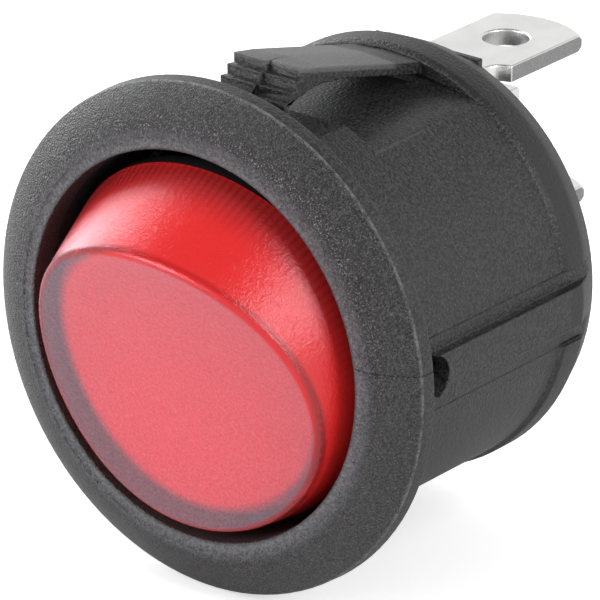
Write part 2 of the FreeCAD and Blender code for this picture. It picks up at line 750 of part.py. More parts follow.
def cross_v():
    """Line that the second lead takes between the lamp and the resistor."""
    return LAMP_V - LAMP_R - WIRE_R - SLEEVE_T - 0.15


def resistor_n():
    return CAP_BASE_H + RESISTOR_R + 0.05


def right_lead_points():
    back_x = lamp_left() - ELECTRODE_OUT - 2 * WIRE_BEND
    start = V(lamp_left() - ELECTRODE_OUT, LAMP_V - ELECTRODE_OFF, lamp_n())
    return [
        start,
        V(back_x, LAMP_V - ELECTRODE_OFF, lamp_n()),
        V(back_x, cross_v(), resistor_n()),
        V(LAMP_SPRING_X, cross_v(), resistor_n()),
        V(LAMP_SPRING_X, cross_v() - 0.9, resistor_n()),
    ]


def lamp_lead_right():
    return on_rocker(bent_rod(right_lead_points(), WIRE_R))


def lead_sleeve():
    a, b = right_lead_points()[2:4]
    start = a + V(0.9, 0, 0)
    end = b - V(0.9, 0, 0)
    outer = rod(WIRE_R + SLEEVE_FIT + SLEEVE_T, start, end)
    return on_rocker(outer.cut(rod(WIRE_R + SLEEVE_FIT, start, end)))


def resistor():
    x, v = neutral_drop()
    top = right_lead_points()[-1].y
    points = [V(x, top, resistor_n()), V(x, v, resistor_n()), V(x, v, FRAME_N)]
    lead = bent_rod(points, WIRE_R)
    start = V(x, top - 0.3, resistor_n())
    body = rod(RESISTOR_R, start, start - V(0, RESISTOR_L, 0))
    body = body.makeChamfer(RESISTOR_EDGE, [e for e in body.Edges if e.Closed])
    return on_rocker(lead.fuse(body))


def lamp_spring(side):
    """Spring from a terminal's ear forward to the rocker's underside, at rest."""
    tilt = math.radians(TILT)
    reach = EAR_Z + LAMP_SPRING_R
    v = spring_v(side * EAR_Z)
    front = PIVOT_Y - v * math.sin(tilt) - FRAME_N * math.cos(tilt)
    slant = (reach - EAR_Z + LAMP_SPRING_WIRE / 2) * math.tan(tilt)
    length = PAD_Y - front - slant - SPRING_GAP
    spring = coil(LAMP_SPRING_R, LAMP_SPRING_WIRE / 2, length, LAMP_SPRING_TURNS)
    spring.rotate(V(0, 0, 0), V(1, 0, 0), 90)
    spring.translate(V(-side * LAMP_SPRING_X, PAD_Y - SPRING_GAP / 2, side * EAR_Z))
    return spring


def lamp_spring_load():
    return lamp_spring(1)


def lamp_spring_neutral():
    return lamp_spring(-1)


# ---- write ----------------------------------------------------------------------------
NODES = [
    housing, rocker_lens, rocker_frame, plunger, plunger_spring, contact_blade,
    moving_contact, fixed_contact, load_terminal, common_terminal, lamp_terminal,
    neon_glass, electrode_left, electrode_right, lamp_lead_left, lamp_lead_right,
    resistor, lead_sleeve, lamp_spring_load, lamp_spring_neutral,
]

os.makedirs("parts", exist_ok=True)
for make in NODES:
    shape = make()
    solid = shape.Solids[0]
    solid.exportStep("parts/" + make.__name__ + ".step")
    print(make.__name__, len(shape.Solids), solid.isValid(), round(solid.Volume, 2))
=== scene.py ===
import math

import bmesh
import bpy
from mathutils import Matrix, Vector


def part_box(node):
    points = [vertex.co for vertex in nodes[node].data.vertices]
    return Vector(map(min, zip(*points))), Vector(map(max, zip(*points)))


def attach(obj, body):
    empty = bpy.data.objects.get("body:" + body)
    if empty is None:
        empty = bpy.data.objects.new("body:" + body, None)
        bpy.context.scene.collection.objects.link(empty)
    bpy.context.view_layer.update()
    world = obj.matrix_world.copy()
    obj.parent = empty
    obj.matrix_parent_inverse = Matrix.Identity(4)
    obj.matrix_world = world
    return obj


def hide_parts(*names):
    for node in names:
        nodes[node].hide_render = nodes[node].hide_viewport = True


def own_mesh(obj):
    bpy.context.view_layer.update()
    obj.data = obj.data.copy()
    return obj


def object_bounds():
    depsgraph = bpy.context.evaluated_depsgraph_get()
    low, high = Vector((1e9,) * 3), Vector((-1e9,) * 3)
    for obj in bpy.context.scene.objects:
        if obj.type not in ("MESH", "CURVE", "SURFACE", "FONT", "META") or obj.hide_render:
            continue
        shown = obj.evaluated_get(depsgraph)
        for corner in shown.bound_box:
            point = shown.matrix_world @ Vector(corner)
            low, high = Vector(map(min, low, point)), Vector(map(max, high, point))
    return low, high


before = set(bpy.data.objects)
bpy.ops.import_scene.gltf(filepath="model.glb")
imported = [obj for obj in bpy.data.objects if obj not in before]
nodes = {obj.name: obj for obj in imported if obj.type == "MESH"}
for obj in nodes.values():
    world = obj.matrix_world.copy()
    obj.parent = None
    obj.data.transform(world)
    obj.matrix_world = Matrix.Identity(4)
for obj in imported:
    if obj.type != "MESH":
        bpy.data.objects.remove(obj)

cad_box = [list(corner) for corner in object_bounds()]
MM = 0.001

# ---- Housing ----------------------------------------------------------------
# One moulding in black nylon: bezel, barrel, rear ring, latch arms and key ribs.
# The bezel's dome is spark-eroded to a coarse grain; the lip round the mouth, the
# rim and the barrel come off finer parts of the tool, and every edge is eased.
NYLON = (0.013, 0.013, 0.0135, 1)
NYLON_WORN = (0.024, 0.024, 0.025, 1)
NYLON_GRIT = (0.044, 0.044, 0.045, 1)
NYLON_PIT = (0.006, 0.006, 0.006, 1)
NYLON_ARM_SHEEN = (0.100, 0.100, 0.101, 1)
NYLON_GRAIN = (0.048, 0.048, 0.050, 1)
NYLON_LIP_SHEEN = (0.140, 0.145, 0.158, 1)
NYLON_RIM_HIGHLIGHT = (0.160, 0.160, 0.165, 1)
NYLON_SPECK = (0.100, 0.100, 0.102, 1)
NYLON_GLINT = (0.260, 0.260, 0.263, 1)
NYLON_EDGE, NOSE_SHARE = 0.07, 0.3
FLAT_ANGLE, SHARP_ANGLE = 0.6, 28
LIP_R, CREST_R = 9.32, 9.7
RIM_Y, RIM_R = -0.76, 11.0
RING_Y, RING_R = 11.57, 9.82
ARM_HALF, ARM_FALL, ARM_TOP, ARM_END = 1.9, 0.253, 12.2, 9.5
BARREL_R = 9.2
SPLIT_HIGH, SPLIT_LOW = 1.6, -1.8
KNIT_X, KNIT_Z = 8.0, 1.35


def merged_copy(node_name, piece_name):
    """A copy of a CAD solid with its loose triangles joined up again."""
    bpy.ops.object.select_all(action="DESELECT")
    piece = nodes[node_name].copy()
    piece.data = nodes[node_name].data.copy()
    piece.name = piece.data.name = piece_name
    for key in list(piece.keys()):
        del piece[key]
    piece.parent = None
    bpy.context.scene.collection.objects.link(piece)
    bpy.context.view_layer.objects.active = piece
    piece.select_set(True)
    bpy.ops.mesh.customdata_custom_splitnormals_clear()
    bpy.ops.object.mode_set(mode="EDIT")
    bpy.ops.mesh.select_all(action="SELECT")
    bpy.ops.mesh.remove_doubles(threshold=1e-6)
    bpy.ops.object.mode_set(mode="OBJECT")
    return piece


def eased_copy(node_name, piece_name, body, edge):
    """A copy of a CAD solid: outside edges rounded, less at a nose's middle, inside ones crisp."""
    piece = merged_copy(node_name, piece_name)
    bpy.ops.object.mode_set(mode="EDIT")
    bpy.ops.mesh.select_all(action="SELECT")
    bpy.ops.mesh.dissolve_limited(angle_limit=math.radians(FLAT_ANGLE))
    bpy.ops.object.mode_set(mode="OBJECT")
    solid = bmesh.new()
    solid.from_mesh(piece.data)
    weight = solid.edges.layers.float.new("bevel_weight_edge")
    for line in solid.edges:
        if len(line.link_faces) == 2 and line.calc_face_angle() > math.radians(SHARP_ANGLE):
            in_middle = all(abs(corner.co.x) < 0.01 * MM for corner in line.verts)
            line[weight] = line.is_convex * (NOSE_SHARE if in_middle else 1.0)
            line.smooth = line.is_convex
    for face in solid.faces:
        face.smooth = True
    solid.to_mesh(piece.data)
    solid.free()
    bevel = piece.modifiers.new("eased edges", "BEVEL")
    bevel.width = edge * MM
    bevel.segments = 3
    bevel.limit_method = "WEIGHT"
    bevel.use_clamp_overlap = False
    bevel.miter_outer = "MITER_ARC"
    bpy.ops.object.modifier_apply(modifier="eased edges")
    weigh = piece.modifiers.new("flat faces", "WEIGHTED_NORMAL")
    weigh.weight = 100
    weigh.keep_sharp = True
    bpy.ops.object.modifier_apply(modifier="flat faces")
    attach(piece, body)
    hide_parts(node_name)
    return piece


def new_material(name):
    material = bpy.data.materials.new(name)
    material.use_nodes = True
    return material, material.node_tree, material.node_tree.nodes["Principled BSDF"]


def add(tree, kind, links=(), **settings):
    """A node of this kind, with its properties set and its inputs set or linked."""
    new = tree.nodes.new("ShaderNode" + kind)
    for key, value in settings.items():
        setattr(new, key, value)
    for key, value in dict(links).items():
        if isinstance(value, bpy.types.NodeSocket):
            tree.links.new(value, new.inputs[key])
        else:
            new.inputs[key].default_value = value
    return new


def place_in_mm(tree, origin=(0, 0, 0), turn=0):
    """The piece's own coordinates in mm, from an origin and a turn about X in degrees."""
    links = {
        "Vector": add(tree, "TexCoord").outputs["Object"],
        "Location": [c * MM for c in origin],
        "Rotation": (math.radians(turn), 0, 0),
        "Scale": (MM, MM, MM),
    }
    return add(tree, "Mapping", links, vector_type="TEXTURE").outputs["Vector"]


def maths(tree, operation, *values):
    return add(tree, "Math", enumerate(values), operation=operation).outputs[0]


def times(tree, first, second):
    return maths(tree, "MULTIPLY", first, second)


def apart(tree, value, other):
    """How far two values are from each other."""
    return maths(tree, "ABSOLUTE", maths(tree, "SUBTRACT", value, other))


def across(tree, first, second):
    """The length that two sides at right angles span."""
    squares = maths(tree, "ADD", times(tree, first, first), times(tree, second, second))
    return maths(tree, "SQRT", squares)


def ramp(tree, value, low, high, start=0.0, end=1.0):
    """A smooth step from start, up to low, to end, from high on."""
    links = {"Value": value, "From Min": low, "From Max": high, "To Min": start, "To Max": end}
    return add(tree, "MapRange", links, interpolation_type="SMOOTHSTEP").outputs["Result"]


def noise(tree, place, scale, detail=2.0, rough=0.5):
    links = {"Vector": place, "Scale": scale, "Detail": detail, "Roughness": rough}
    return add(tree, "TexNoise", links).outputs["Fac"]


def mix_colour(tree, factor, first, second):
    links = {"Factor": factor, 6: first, 7: second}
    return add(tree, "Mix", links, data_type="RGBA").outputs[2]


def mix_value(tree, factor, first, second):
    return add(tree, "Mix", {"Factor": factor, 2: first, 3: second}).outputs[0]


def bump(tree, height, depth_mm, under=None):
    links = {"Height": height, "Distance": depth_mm * MM, "Strength": 1.0}
    if under is not None:
        links["Normal"] = under
    return add(tree, "Bump", links).outputs["Normal"]


def dress(tree, shader, colour, rough, normal):
    """Links a colour, a roughness and a bump to a material's shader."""
    tree.links.new(colour, shader.inputs["Base Color"])
    tree.links.new(rough, shader.inputs["Roughness"])
    tree.links.new(normal, shader.inputs["Normal"])


def moulded_nylon():
    """Grain on the dome, sand behind it, a smooth lip and ring; painted sheen on the lip and on
    the latch arms' outer faces, painted highlights along the rim's edges, painted glints on the
    dome.
    """
    material, tree, shader = new_material("black nylon")
    place = place_in_mm(tree)
    x, y, z = add(tree, "SeparateXYZ", {0: place}).outputs
    radius = across(tree, x, z)
    front = ramp(tree, y, RIM_Y - 0.05, RIM_Y + 0.10, 1, 0)
    on_dome = times(tree, ramp(tree, radius, LIP_R - 0.55, LIP_R + 0.20, 0.35, 1), front)
    on_lip = times(tree, ramp(tree, radius, LIP_R - 0.10, LIP_R + 0.45, 1, 0), front)
    behind = ramp(tree, y, RING_Y - 0.1, RING_Y + 0.1)
    on_ring = times(tree, ramp(tree, radius, RING_R - 0.12, RING_R - 0.06), behind)
    up_slope = maths(tree, "ADD", maths(tree, "ABSOLUTE", z), times(tree, y, ARM_FALL))
    over = ramp(tree, up_slope, ARM_TOP - 0.12, ARM_TOP)
    beside = ramp(tree, maths(tree, "ABSOLUTE", x), ARM_HALF, ARM_HALF + 0.1, 1, 0)
    on_arm = times(tree, times(tree, over, beside), ramp(tree, y, ARM_END, ARM_END + 0.5, 1, 0))
    on_barrel = times(tree, ramp(tree, y, 0.1, 0.2), ramp(tree, radius, BARREL_R, BARREL_R + 0.1))

    pits = add(tree, "TexVoronoi", {"Vector": place, "Scale": 11.0}, feature="F1")
    coarse = times(tree, pits.outputs["Distance"], 0.8)
    coarse = maths(tree, "ADD", coarse, noise(tree, place, 14.0, 1.0, 0.6))
    coarse = maths(tree, "SUBTRACT", coarse, 0.9)
    fine = noise(tree, place, 7.0, 1.5, 0.6)
    flow = noise(tree, place, 0.35, 2.0)
    speck = noise(tree, place, 13.0, 1.0, 0.6)
    rim_highlight_breakup = noise(tree, place, 2.5, 3.0, 0.7)

    grit = mix_colour(tree, flow, NYLON_WORN, NYLON_GRIT)
    sand = mix_colour(tree, ramp(tree, fine, 0.38, 0.64), NYLON_PIT, grit)
    sand = mix_colour(tree, ramp(tree, speck, 0.62, 0.74), sand, NYLON_SPECK)
    body = mix_colour(tree, on_ring, sand, NYLON)
    # Painted sheen: the latch arms' outer faces are painted lighter.
    body = mix_colour(tree, on_arm, body, NYLON_ARM_SHEEN)
    # Painted glints: pale specks on the dome, strongest near the crest and towards the top.
    near_crest = ramp(tree, radius, CREST_R, CREST_R + 1.1, 1, 0.4)
    spark = times(tree, ramp(tree, speck, 0.57, 0.68), near_crest)
    spark = times(tree, spark, ramp(tree, z, -2, 8, 0.3, 1))
    grain = ramp(tree, noise(tree, place, 8.0, 1.0), 0.38, 0.62)
    dome = mix_colour(tree, grain, NYLON_WORN, NYLON_GRAIN)
    dome = mix_colour(tree, spark, dome, NYLON_GLINT)
    # Painted sheen: the lip is a pale bluish band that fades to the dome's grey towards the
    # mouth's edge.
    lip = ramp(tree, radius, LIP_R - 0.57, LIP_R - 0.40)
    lip = mix_colour(tree, lip, NYLON_GRAIN, NYLON_LIP_SHEEN)
    lip = mix_colour(tree, ramp(tree, fine, 0.40, 0.64, 0.5, 0), lip, NYLON_WORN)
    colour = mix_colour(tree, on_lip, mix_colour(tree, on_dome, body, dome), lip)

    # Painted highlight: pale lines along the rim's front and back edges, broken up by noise.
    front_edge = ramp(tree, apart(tree, y, RIM_Y), 0.02, 0.09, 1, 0)
    back_edge = ramp(tree, maths(tree, "ABSOLUTE", y), 0.02, 0.07, 1, 0)
    edges = maths(tree, "MAXIMUM", front_edge, back_edge)
    edges = times(tree, edges, ramp(tree, rim_highlight_breakup, 0.35, 0.65, 0.2, 1))
    edges = times(tree, edges, ramp(tree, radius, RIM_R, RIM_R + 0.2))
    colour = mix_colour(tree, edges, colour, NYLON_RIM_HIGHLIGHT)
    knit = ramp(tree, apart(tree, z, KNIT_Z), 0.01, 0.05, 0.35, 1)
    has_knit = times(tree, ramp(tree, x, KNIT_X, KNIT_X + 1), ramp(tree, y, 0, 0.1, 1, 0))
    knit = mix_value(tree, has_knit, 1.0, knit)
    colour = mix_colour(tree, knit, NYLON_PIT, colour)
    satin = mix_value(tree, on_dome, mix_value(tree, fine, 0.38, 0.60), 0.32)
    satin = mix_value(tree, on_lip, satin, 0.42)

    above = ramp(tree, apart(tree, z, SPLIT_HIGH), 0.01, 0.04, 0.5, 1)
    below = ramp(tree, apart(tree, z, SPLIT_LOW), 0.02, 0.08)
    split = mix_value(tree, on_barrel, 1.0, maths(tree, "MINIMUM", above, below))
    surface = bump(tree, fine, 0.05)
    surface = bump(tree, times(tree, split, knit), 0.10, surface)
    surface = bump(tree, times(tree, coarse, on_dome), 0.14, surface)
    dress(tree, shader, colour, satin, surface)
    return material


def paint(piece, material):
    for slot in piece.material_slots:
        slot.material = material


housing = eased_copy("housing", "housing_moulding", "body", NYLON_EDGE)
paint(housing, moulded_nylon())

# ---- Terminals --------------------------------------------------------------
# Three tabs stamped from 0.8 mm brass strip and tinned, pressed in through the
# rear wall and staked. Rolling and tinning leave a faint bloom and fine lines.
TIN = (0.86, 0.86, 0.85, 1)
TIN_DULL = (0.79, 0.79, 0.79, 1)
TIN_SHEARED_AND_SHADE = (0.12, 0.12, 0.12, 1)
TIN_TORN = (0.50, 0.50, 0.50, 1)
STRIP_HALF = 2.4
NECK_Y = 16.0
HOLE_Y, HOLE_R = 20.22, 1.05
TAB_EDGE = 0.1


def rolled_metal(name, bright, dull, rough, stretch=(4.0, 4.0, 4.0)):
    material, tree, shader = new_material(name)
    place = place_in_mm(tree)
    drawn = add(tree, "Mapping", {"Vector": place, "Scale": stretch}).outputs["Vector"]
    lines = noise(tree, drawn, 1.0, 4.0, 0.6)
    bloom = noise(tree, place, 0.8, 3.0)
    colour = mix_colour(tree, ramp(tree, bloom, 0.3, 0.75), bright, dull)
    rough = mix_value(tree, bloom, rough - 0.06, rough + 0.08)
    dress(tree, shader, colour, rough, bump(tree, lines, 0.004))
    shader.inputs["Metallic"].default_value = 1.0
    return material


def tinned_strip():
    """Rolled faces are bright; the sides cut by the shear are duller, and the punched hole's wall
    takes the same dark colour, partly for its cut metal and partly as painted shade.
    """
    material, tree, shader = new_material("tinned brass")
    place = place_in_mm(tree)
    x, y, _ = add(tree, "SeparateXYZ", {0: place}).outputs
    bloom = noise(tree, place, 0.7, 3.0)
    grain = noise(tree, place, 12.0, 3.0, 0.6)
    # Painted shade in part: the punched hole's wall gets the dark colour of the cut sides.
    from_hole = across(tree, x, maths(tree, "SUBTRACT", y, HOLE_Y))
    hole_shear_and_shade = ramp(tree, from_hole, HOLE_R - 0.02, HOLE_R + 0.02, 1, 0)
    at_side = ramp(tree, maths(tree, "ABSOLUTE", x), STRIP_HALF - 0.015, STRIP_HALF - 0.005)
    at_side = times(tree, at_side, ramp(tree, y, NECK_Y, NECK_Y + 0.2))
    shear_and_hole_shade = maths(tree, "MAXIMUM", hole_shear_and_shade, at_side)
    rolled = mix_colour(tree, ramp(tree, bloom, 0.3, 0.75), TIN, TIN_DULL)
    torn = mix_colour(tree, grain, TIN_SHEARED_AND_SHADE, TIN_TORN)
    colour = mix_colour(tree, shear_and_hole_shade, rolled, torn)
    rough = mix_value(tree, shear_and_hole_shade, mix_value(tree, bloom, 0.30, 0.40), 0.5)
    dress(tree, shader, colour, rough, bump(tree, grain, 0.010))
    shader.inputs["Metallic"].default_value = 1.0
    return material


tinned = tinned_strip()
for terminal in ("load_terminal", "common_terminal", "lamp_terminal"):
    stamping = eased_copy(terminal, terminal + "_stamping", "body", TAB_EDGE)
    paint(stamping, tinned)

# ---- Contacts and blade -----------------------------------------------------
# The blade is stamped from copper alloy and rocks in the common terminal. A
# silver button is riveted to it and another to the load terminal.
COPPER, COPPER_DULL = (0.78, 0.46, 0.26, 1), (0.60, 0.33, 0.19, 1)
SILVER, SILVER_DULL = (0.86, 0.85, 0.82, 1), (0.66, 0.64, 0.60, 1)
ROLLED_ALONG_X = (0.6, 7.0, 7.0)
BLADE_EDGE = 0.04
copper = rolled_metal("copper alloy", COPPER, COPPER_DULL, 0.3, ROLLED_ALONG_X)
blade = eased_copy("contact_blade", "contact_blade_stamping", "blade", BLADE_EDGE)
paint(blade, copper)
silver = rolled_metal("contact silver", SILVER, SILVER_DULL, 0.28)
for contact in ("moving_contact", "fixed_contact"):
    paint(nodes[contact], silver)

# ---- Plunger ----------------------------------------------------------------
# A small pusher in white acetal that slides in the rocker's tube on its own
# spring and rides along the blade.
ACETAL, ACETAL_SHADE = (0.78, 0.77, 0.74, 1), (0.72, 0.71, 0.67, 1)


def pale_plastic(name, colour, shade, rough):
    material, tree, shader = new_material(name)
    place = place_in_mm(tree)
    colour = mix_colour(tree, noise(tree, place, 0.8, 3.0), colour, shade)
    haze = noise(tree, place, 6.0, 3.0)
    rough = mix_value(tree, haze, rough - 0.06, rough + 0.08)
    dress(tree, shader, colour, rough, bump(tree, noise(tree, place, 12.0, 3.0), 0.006))
    return material


paint(nodes["plunger"], pale_plastic("white acetal", ACETAL, ACETAL_SHADE, 0.35))

# ---- Rocker frame -----------------------------------------------------------
# The rocker's carrier, moulded in one piece with the two pins that turn in the
# holes of the key ribs. It is left smooth, so that it slides in the mouth.
# The carrier is painted near-black: painted shade standing in for the dark gap round the lens.
NYLON_CARRIER_SHADE = (0.010, 0.010, 0.0105, 1)
CARRIER_EDGE = 0.05


def carrier_shade_nylon():
    material, tree, shader = new_material("carrier nylon in painted shade")
    place = place_in_mm(tree)
    haze = noise(tree, place, 5.0, 3.0)
    colour = mix_colour(tree, noise(tree, place, 0.6, 3.0), NYLON_CARRIER_SHADE, NYLON)
    dress(tree, shader, colour, mix_value(tree, haze, 0.30, 0.45), bump(tree, haze, 0.01))
    return material


carrier = eased_copy("rocker_frame", "rocker_carrier", "rocker", CARRIER_EDGE)
paint(carrier, carrier_shade_nylon())

# ---- Lamp, leads and resistor -----------------------------------------------
# A neon capsule on the platform, with its two rods, its leads and the resistor
# that feeds it from the terminals' springs. Bands of paint mark the resistor.
DRAWN_ALONG_Y = (7.0, 0.5, 7.0)
GLASS, GLASS_DULL = (0.95, 0.96, 0.95, 1), (0.85, 0.84, 0.82, 1)
ROD, ROD_DULL = (0.45, 0.44, 0.43, 1), (0.30, 0.29, 0.29, 1)
WIRE, WIRE_DULL = (0.78, 0.77, 0.75, 1), (0.60, 0.59, 0.58, 1)
SLEEVE, SLEEVE_SHADE = (0.72, 0.70, 0.62, 1), (0.66, 0.63, 0.55, 1)
LACQUER, LACQUER_SHADE = (0.60, 0.48, 0.33, 1), (0.52, 0.40, 0.27, 1)
BROWN, GREEN = (0.10, 0.035, 0.015, 1), (0.03, 0.20, 0.06, 1)
YELLOW, GOLD = (0.75, 0.55, 0.05, 1), (0.45, 0.28, 0.08, 1)
BANDS = ((-2.2, BROWN), (-1.7, GREEN), (-1.2, YELLOW), (-0.4, GOLD))
BAND_WIDTH = 0.24
RESISTOR_EDGE = 0.1
ROCKER_TURN = 104
PIVOT = (0, 1.95, 0)


def lamp_glass():
    material, tree, shader = new_material("lamp glass")
    haze = noise(tree, place_in_mm(tree), 1.5, 3.0)
    tree.links.new(mix_colour(tree, haze, GLASS, GLASS_DULL), shader.inputs["Base Color"])
    tree.links.new(mix_value(tree, haze, 0.02, 0.1), shader.inputs["Roughness"])
    shader.inputs["Transmission Weight"].default_value = 0.95
    return material


paint(nodes["neon_glass"], lamp_glass())
rods = rolled_metal("electrode metal", ROD, ROD_DULL, 0.35, DRAWN_ALONG_Y)
for rod in ("electrode_left", "electrode_right"):
    paint(nodes[rod], rods)
wire = rolled_metal("tinned wire", WIRE, WIRE_DULL, 0.3)


def round_copy(node_name, piece_name):
    """A copy of a wire or sleeve on the rocker, with its flats blended."""
    piece = merged_copy(node_name, piece_name)
    bpy.ops.object.shade_smooth_by_angle(angle=math.radians(60))
    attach(piece, "rocker")
    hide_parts(node_name)
    return piece


def banded_paint():
    material, tree, shader = new_material("resistor paint")
    place = place_in_mm(tree, PIVOT, ROCKER_TURN)
    along = add(tree, "SeparateXYZ", {0: place}).outputs[1]
    colour = mix_colour(tree, noise(tree, place, 1.5, 3.0), LACQUER, LACQUER_SHADE)
    half = BAND_WIDTH / 2
    for middle, band_colour in BANDS:
        band = ramp(tree, apart(tree, along, middle), half - 0.02, half + 0.02, 1, 0)
        colour = mix_colour(tree, band, colour, band_colour)
    haze = noise(tree, place, 6.0, 3.0)
    dress(tree, shader, colour, mix_value(tree, haze, 0.25, 0.40), bump(tree, haze, 0.01))
    return material


for lead in ("lamp_lead_left", "lamp_lead_right"):
    paint(round_copy(lead, lead + "_wire"), wire)
sleeve = pale_plastic("sleeve plastic", SLEEVE, SLEEVE_SHADE, 0.4)
paint(round_copy("lead_sleeve", "lead_sleeving"), sleeve)
resistor = eased_copy("resistor", "lamp_resistor", "rocker", RESISTOR_EDGE)
paint(resistor, banded_paint())

# ---- Lens -------------------------------------------------------------------
# The rocker's cap, moulded in red polycarbonate: its wall is glossy and its
# dished face frosted. Inside, the wall is fluted all round and the roof is left
# rough, so that it glows instead of showing the lamp.
PLUG_BASE_R, PLUG_BASE_N = 7.95, 0.7
PLUG_TOP_X, PLUG_TOP_V, PLUG_TOP_N = 6.22, 5.84, 7.2
ROOF_R, ROOF_FACETS, ROOF_WIDTH, DISH_N = 22.99, 360, 40, 27.19
FLUTES, FLUTE_DEPTH = 144, 0.07
WALL_X, WALL_X_LEAN = 8.816, 0.263
WALL_V, WALL_V_LEAN = 8.892, 0.3265
FACE_N, FACE_CURVE = 5.0, 0.0232
RED = (0.86, 0.020, 0.016, 1)
RED_DEEP = (0.80, 0.012, 0.010, 1)
RED_FLUTE_SHADE = (0.42, 0.006, 0.005, 1)
RED_TINT = (0.99, 0.060, 0.050, 1)
RED_GLOW = (0.98, 0.030, 0.024, 1)
GRAIN_HAZE = (0.92, 0.78, 0.95, 1)
SKIN_GLOSS = (1.0, 0.90, 1.0, 1)


def choose_vertices(piece, wanted):
    """Leaves the piece in edit mode with only the wanted vertices selected."""
    bpy.ops.object.mode_set(mode="EDIT")
    bpy.ops.mesh.select_mode(type="VERT")
    bpy.ops.mesh.select_all(action="DESELECT")
    bpy.ops.object.mode_set(mode="OBJECT")
    for vertex in piece.data.vertices:
        vertex.select = wanted(vertex.co / MM)
    bpy.ops.object.mode_set(mode="EDIT")


def cut_away(piece, tool):
    bpy.ops.object.select_all(action="DESELECT")
    bpy.context.view_layer.objects.active = piece
    piece.select_set(True)
    cut = piece.modifiers.new("cut", "BOOLEAN")
    cut.object = tool
    cut.operation = "DIFFERENCE"
    cut.solver = "EXACT"
    bpy.ops.object.modifier_apply(modifier="cut")
    bpy.data.objects.remove(tool)


def keep_place(piece):
    bpy.ops.object.select_all(action="DESELECT")
    piece.select_set(True)
    bpy.context.view_layer.objects.active = piece
    bpy.ops.object.transform_apply(location=True, rotation=True, scale=True)


plug_tall = (PLUG_TOP_N - PLUG_BASE_N) * MM
bpy.ops.object.select_all(action="DESELECT")
bpy.ops.mesh.primitive_cone_add(
    vertices=2 * FLUTES, radius1=PLUG_BASE_R * MM, radius2=PLUG_TOP_X * MM, depth=plug_tall,
    location=(0, 0, PLUG_BASE_N * MM + plug_tall / 2),
)
plug = bpy.context.object
keep_place(plug)
half_flute = math.pi / FLUTES
choose_vertices(plug, lambda p: round(math.atan2(p.y, p.x) / half_flute) % 2 == 1)
crest = 1 + FLUTE_DEPTH / PLUG_BASE_R
bpy.ops.transform.resize(value=(crest, crest, 1), center_override=(0, 0, 0))
bpy.ops.object.mode_set(mode="OBJECT")
choose_vertices(plug, lambda p: p.z > PLUG_TOP_N - 0.01)
bpy.ops.transform.resize(value=(1, PLUG_TOP_V / PLUG_TOP_X, 1), center_override=(0, 0, 0))
bpy.ops.object.mode_set(mode="OBJECT")
bpy.ops.object.select_all(action="DESELECT")
bpy.ops.mesh.primitive_cylinder_add(
    vertices=ROOF_FACETS, radius=ROOF_R * MM, depth=ROOF_WIDTH * MM,
    location=(0, 0, DISH_N * MM), rotation=(0, math.radians(90), 0),
)
roller = bpy.context.object
keep_place(roller)
cut_away(plug, roller)
plug.rotation_euler = (math.radians(ROCKER_TURN), 0, 0)
plug.location = [c * MM for c in PIVOT]
keep_place(plug)
lens = merged_copy("rocker_lens", "lens_cap")
cut_away(lens, plug)
bpy.ops.object.shade_smooth_by_angle(angle=math.radians(50))


